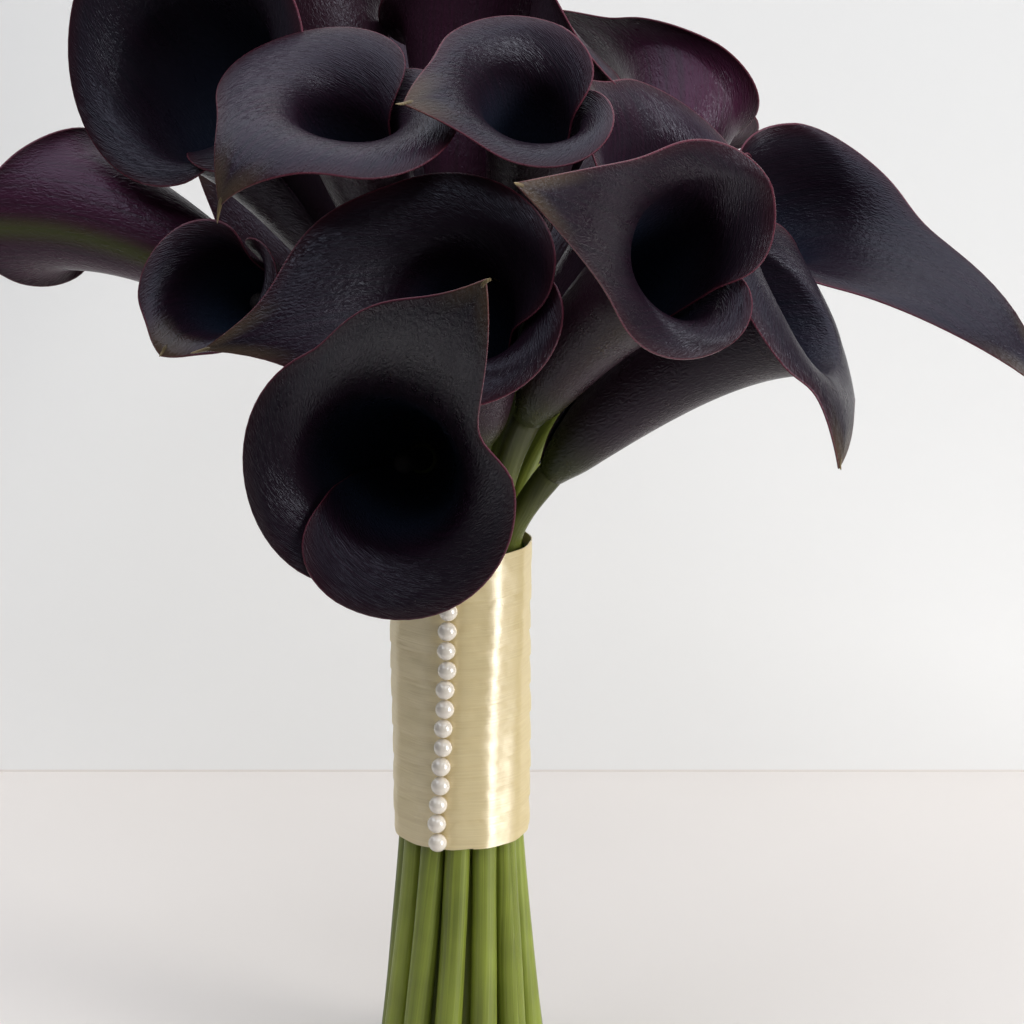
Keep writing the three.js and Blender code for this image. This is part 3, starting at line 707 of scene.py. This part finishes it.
def buildSpadix(letter, flower, line):
    sides = 24
    long = leaf["spadixLength"]
    low = [(1.4, 3.2), (2, 3.4), (3, 3.3), (4, 3.2)]
    rod = []
    for s in np.arange(5, long - 2.5, 0.7):
        rod.append((s, leaf["spadixRadius"] * (1 - 0.12 * (s - 5) / (long - 5))))
    cap = [(long - 2.5 + 2.4 * math.sin(a), 2.6 * math.cos(a)) for a in np.linspace(0, 1.45, 7)]
    profile = low + rod + cap
    points = []
    spans = []
    for i, (s, radius) in enumerate(profile):
        at = frameAt(line, flower["tube"] - s)
        for k in range(sides):
            angle = 2 * math.pi * k / sides
            knob = 0.0
            if s > 5:  # the tiny flowers stand in a spiral
                knob = leaf["spadixKnob"] * (0.5 + 0.5 * math.cos(angle * 8 + s * 3.4))
                knob = knob * (0.5 + 0.5 * math.cos(s * 4.2 - angle * 5))
            reach = radius - 0.1 + knob
            out = at["normal"] * math.cos(angle) + at["across"] * math.sin(angle)
            points.append(at["point"] + reach * out)
            spans.append((angle * radius, s, knob * 4))
    for s in (profile[0][0], long):
        points.append(frameAt(line, flower["tube"] - s)["point"])
        spans.append((0, s, 0))
    made = meshObject(f"spadix_{letter}", np.array(points), sweepFaces(len(profile), sides), spadixSkin,
                      {"span": spans})
    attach(made, "root")
    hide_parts(f"bloom_{letter}")


stemShades = {"seed": 7, "sides": 20, "stepMm": 3}


def buildStem(letter, flower, line, order):
    draw = np.random.default_rng(stemShades["seed"] * 31 + order)
    sides = stemShades["sides"]
    whole = line["travelled"][-1]
    top = flower["tube"] - 1.2
    count = int((whole - top) / stemShades["stepMm"])
    stations = np.linspace(top, whole, count)
    at = frameAt(line, stations)
    height = at["point"][:, 2]
    radius = handle["stemRadius"] + (handle["stemFootRadius"] - handle["stemRadius"]) * ease(
        1 - height / handle["wrapBottom"])
    radius = radius * (1 + 0.03 * wander(order, stations, 25))
    radius = radius + 0.55 * ease(1 - (stations - flower["tube"]) / 16)
    phase = draw.uniform(0, 6.28)
    points = []
    spans = []
    tints = []
    bright = draw.uniform(0.1, 0.9)
    yellow = max(0, draw.uniform(-0.7, 0.8))
    for i in range(count):
        for k in range(sides):
            angle = 2 * math.pi * k / sides
            reach = radius[i] * (1 + 0.025 * math.cos(3 * angle + phase) + 0.012 * math.cos(7 * angle))
            out = at["normal"][i] * math.cos(angle) + at["across"][i] * math.sin(angle)
            p = at["point"][i] + reach * out
            if i == count - 1:
                p = p - at["tangent"][i] * p[2] / at["tangent"][i][2]
            points.append(p)
            spans.append((angle * radius[i], stations[i], order * 40.0))
            neck = ease(1 - (stations[i] - top) / stemLook["neckMm"])
            tints.append((bright, yellow, stemLook["neckShare"] * neck))
    for i in (0, count - 1):
        p = at["point"][i].copy()
        if i:
            p[2] = 0
        points.append(p)
        spans.append((0, stations[i], 0))
        tints.append((0.9, 0.6, 0))
    made = meshObject(f"cutStem_{letter}", np.array(points), sweepFaces(count, sides), stemSkin,
                      {"span": spans, "tint": tints})
    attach(made, "root")
    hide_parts(f"stem_{letter}")


# steps round each leaf and along it; the blooms at the back need fewer
grids = {"shown": (104, 52), "hidden": (72, 34), "hiddenBlooms": "PQRS"}
for order, (letter, own) in enumerate(flowers.items()):
    flower = {**usual, **own}
    line = centreLine(flower)
    columns, rows = grids["hidden" if letter in grids["hiddenBlooms"] else "shown"]
    buildSpathe(letter, flower, line, columns, rows)
    buildSpadix(letter, flower, line)
    buildStem(letter, flower, line, order)
print("flowers made")


ribbon = {
    "width": 13.0, "pitch": 8.6, "thick": 0.28, "perTurn": 120, "acrossSteps": 14,
    "boundRadius": 19.75, "stemLumps": 0.15, "crease": 0.13, "gap": 0.02, "startTurn": 1.03,
    "endTurns": 1.9, "pinPull": 0.35, "pinPullWidth": 3.6,
}


# radius of the bound bundle in mm: the outer stems show faintly through the tape
def handleSurface(theta, z):
    fromStem = theta - math.radians(handle["outerAngle"])
    lumps = ribbon["stemLumps"] * np.cos(handle["outerCount"] * fromStem - 0.03 * z)
    slow = 0.2 * np.sin(2 * theta + z * 0.03) + 0.15 * np.sin(3 * theta - z * 0.09)
    slow = slow + 0.05 * np.sin(5 * theta + z * 0.37)
    return ribbon["boundRadius"] + lumps + slow


def buildRibbon():
    low = handle["wrapBottom"]
    high = handle["wrapTop"]
    rise = (high - low - ribbon["width"]) / ribbon["pitch"]
    turns = rise + ribbon["endTurns"]
    steps = int(turns * ribbon["perTurn"])
    turnAt = np.linspace(0, turns, steps + 1)
    theta = 2 * math.pi * (turnAt + ribbon["startTurn"])
    climb = np.clip(turnAt - 0.95, 0, rise)
    edge = low + climb * ribbon["pitch"]
    share = np.linspace(0, 1, ribbon["acrossSteps"] + 1)
    z = edge[:, None] + ribbon["width"] * share[None, :]
    z = z + 0.25 * wander(3, turnAt * 10, 3)[:, None]
    overlap = ribbon["width"] - ribbon["pitch"]
    lapped = ease((turnAt - 0.9) / 0.15)[:, None] * (
        1 - ease((share[None, :] * ribbon["width"] - overlap * 0.8) / (overlap * 0.9)))
    topLap = ease((turnAt - rise - 0.9) / 0.3)[:, None]
    lift = ribbon["gap"] + (ribbon["thick"] + ribbon["gap"]) * np.maximum(lapped, topLap)
    angle = np.broadcast_to(theta[:, None], z.shape)
    creases = ribbon["crease"] * wander(11, angle * 24 + z * 1.6, 7) * np.sin(share * math.pi)[None, :]
    # each pin pulls the satin in a little round its pearl
    pinTurn = math.radians(handle["pinAngle"])
    pinTurn = pinTurn + math.radians(handle["twistPerMm"]) * (z - handle["wrapTop"])
    sideways = 20 * np.abs((angle - pinTurn + math.pi) % (2 * math.pi) - math.pi)
    fromPin = (z - handle["lowestPearl"]) / handle["pearlPitch"]
    pull = ribbon["pinPull"] * np.exp(-(sideways / ribbon["pinPullWidth"]) ** 2)
    pull = pull * (0.5 + 0.5 * np.cos(2 * math.pi * fromPin))
    radius = handleSurface(angle, z) + lift + creases - pull

    def around(r):
        return np.stack([r * np.sin(angle), -r * np.cos(angle), z], -1)

    outer = around(radius + ribbon["thick"])
    inner = around(radius)
    c, r = z.shape
    index = np.arange(c * r).reshape(c, r)
    a = index[:-1, :-1].ravel()
    b = index[1:, :-1].ravel()
    d = index[1:, 1:].ravel()
    e = index[:-1, 1:].ravel()
    faces = np.stack([a, b, d, e], 1).tolist() + (np.stack([a, e, d, b], 1) + c * r).tolist()
    loop = ([(i, 0) for i in range(c)] + [(c - 1, j) for j in range(1, r)]
            + [(i, r - 1) for i in range(c - 2, -1, -1)] + [(0, j) for j in range(r - 2, 0, -1)])
    for k in range(len(loop)):
        f = index[loop[k]]
        g = index[loop[(k + 1) % len(loop)]]
        faces.append((f, g, g + c * r, f + c * r))
    spans = np.stack([angle * 20, z, np.broadcast_to(turnAt[:, None], z.shape) * 7], -1).reshape(-1, 3)
    points = np.vstack([outer.reshape(-1, 3), inner.reshape(-1, 3)])
    made = meshObject("satinRibbon", points, faces, satin, {"span": np.vstack([spans, spans])})
    made.data.set_sharp_from_angle(angle=math.radians(40))
    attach(made, "root")
    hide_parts("ribbon_wrap")


buildRibbon()
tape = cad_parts["binding_tape"]
tape.data.materials.clear()
tape.data.materials.append(tapeSkin)
print("ribbon wound")


def buildPearl(number):
    draw = np.random.default_rng(100 + number)
    z = handle["lowestPearl"] + (number - 1) * handle["pearlPitch"]
    turned = math.radians(handle["pinAngle"] + handle["twistPerMm"] * (z - handle["wrapTop"]))
    turned += math.radians(draw.uniform(-0.9, 0.9))
    reach = handle["ribbonOuter"] + handle["pearlRadius"]
    out = np.array([math.sin(turned), -math.cos(turned), 0])
    side = np.array([math.cos(turned), math.sin(turned), 0])
    up = np.array([0, 0, 1.0])
    radius = handle["pearlRadius"] * draw.uniform(0.96, 1.0)
    # the pin's shank and collar, then the bead from its drilled foot round to its nose
    profile = [(handle["shankEnd"] + 0.1 - reach, 0.3), (-radius - 0.5, 0.32)]
    profile += [(-radius - 0.35, 0.75), (-radius * 0.97, 0.8)]
    profile += [(-radius * math.cos(a), radius * math.sin(a)) for a in np.linspace(0.33, 3.0, 18)]
    sides = 28
    points = []
    for distance, r in profile:
        for k in range(sides):
            a = 2 * math.pi * k / sides
            away = side * math.cos(a) + up * math.sin(a)
            points.append(out * (reach + distance) + up * z + r * away)
    points.append(out * handle["shankEnd"] + up * z)
    points.append(out * (reach + radius) + up * z)
    faces = sweepFaces(len(profile), sides)
    made = meshObject(f"pearlHead_{number}", np.array(points), faces, pearlSkin)
    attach(made, "root")
    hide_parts(f"pearl_pin_{number}")


for number in range(1, handle["pearlCount"] + 1):
    buildPearl(number)
print("pearls set")


# Backdrop: a painted board standing behind a painted table, matt and without grain.
studio = {
    "floor": "#dfd9d3", "wall": "#eaeae9", "wallAt": 262, "halfWidth": 450, "near": -200,
    "height": 650, "roomGlow": 0.14, "roomColor": "#f2f4f8",
}


def buildStudio():
    material, tree = newMaterial("paintedStudioSweep")
    place = add(tree, "ShaderNodeTexCoord")
    parts = add(tree, "ShaderNodeSeparateXYZ", None, {0: place.outputs["Object"]})
    share = add(tree, "ShaderNodeMapRange", {"interpolation_type": "SMOOTHSTEP"},
                {0: parts.outputs[2], 1: 0.0002, 2: 0.0012, 3: 0.0, 4: 1.0})
    color = add(tree, "ShaderNodeMix", {"data_type": "RGBA"},
                {0: share.outputs[0], 6: hexColor(studio["floor"]), 7: hexColor(studio["wall"])})
    skin = add(tree, "ShaderNodeBsdfPrincipled", None,
               {"Base Color": color.outputs[2], "Roughness": 0.8, "Specular IOR Level": 0.2})
    # seen from behind the sheet is clear, so the bouquet can be looked at from every side
    side = add(tree, "ShaderNodeNewGeometry")
    clear = add(tree, "ShaderNodeBsdfTransparent")
    sheet = add(tree, "ShaderNodeMixShader", None,
                {0: side.outputs["Backfacing"], 1: skin.outputs[0], 2: clear.outputs[0]})
    add(tree, "ShaderNodeOutputMaterial", None, {"Surface": sheet.outputs[0]})
    profile = [(studio["near"], 0), (studio["wallAt"], 0), (studio["wallAt"], studio["height"])]
    points = []
    for y, z in profile:
        points.append((-studio["halfWidth"], y, z))
        points.append((studio["halfWidth"], y, z))
    faces = [(2 * i, 2 * i + 1, 2 * i + 3, 2 * i + 2) for i in range(len(profile) - 1)]
    sweep = meshObject("studioSweep", np.array(points, float), faces, material)
    sweep.data.shade_flat()
    sweep.data.flip_normals()


# Area lights aimed at the flowers. Azimuth 0 is the camera's side, positive to the right.
# Angles are in degrees, distance and size in metres.
lights = {
    "windowRight": {"azimuth": 66, "elevation": 10, "distance": 2.5, "size": (2.2, 2.1), "watts": 18,
                    "color": "#fbfbff"},
    "windowSun": {"azimuth": 60, "elevation": 6, "distance": 2.6, "size": (0.85, 1.7), "watts": 44,
                  "color": "#fffdf8"},
    "ceilingSheet": {"azimuth": 0, "elevation": 96, "distance": 1.5, "size": (3.4, 3.0), "watts": 70,
                     "color": "#f3f7ff"},
    "roofLight": {"azimuth": 8, "elevation": 41, "distance": 1.6, "size": (0.55, 0.2), "watts": 3,
                  "color": "#f3f7ff"},
}


def addLight(name, light):
    a = math.radians(light["azimuth"])
    e = math.radians(light["elevation"])
    aim = Vector((0, 0, 0.24))
    out = Vector((math.sin(a) * math.cos(e), -math.cos(a) * math.cos(e), math.sin(e)))
    data = bpy.data.lights.new(name, "AREA")
    data.shape = "RECTANGLE"
    data.size = light["size"][0]
    data.size_y = light["size"][1]
    data.energy = light["watts"]
    data.color = hexColor(light["color"])[:3]
    lamp = bpy.data.objects.new(name, data)
    lamp.location = aim + out * light["distance"]
    lamp.rotation_mode = "QUATERNION"
    lamp.rotation_quaternion = (-out).to_track_quat("-Z", "Y")
    bpy.context.scene.collection.objects.link(lamp)


buildStudio()
for name, light in lights.items():
    addLight(name, light)
world = bpy.data.worlds.new("room")
world.use_nodes = True
world.node_tree.nodes["Background"].inputs[0].default_value = hexColor(studio["roomColor"])
world.node_tree.nodes["Background"].inputs[1].default_value = studio["roomGlow"]
bpy.context.scene.world = world
bpy.context.scene.view_settings.view_transform = "Standard"

view = {
    "pitch": 16, "distance": 1000, "aim": (15, 0, 177), "focalPx": 3448, "framePx": 1024,
    "sensorMm": 36,
}
pitch = math.radians(view["pitch"])
forward = Vector((0, math.cos(pitch), -math.sin(pitch)))
cameraData = bpy.data.cameras.new("camera")
cameraData.sensor_width = view["sensorMm"]
cameraData.lens = view["sensorMm"] * view["focalPx"] / view["framePx"]
camera = bpy.data.objects.new("camera", cameraData)
camera.location = Vector(view["aim"]) * mm - forward * view["distance"] * mm
camera.rotation_mode = "QUATERNION"
camera.rotation_quaternion = forward.to_track_quat("-Z", "Y")
bpy.context.scene.collection.objects.link(camera)
bpy.context.scene.camera = camera
print("studio ready")
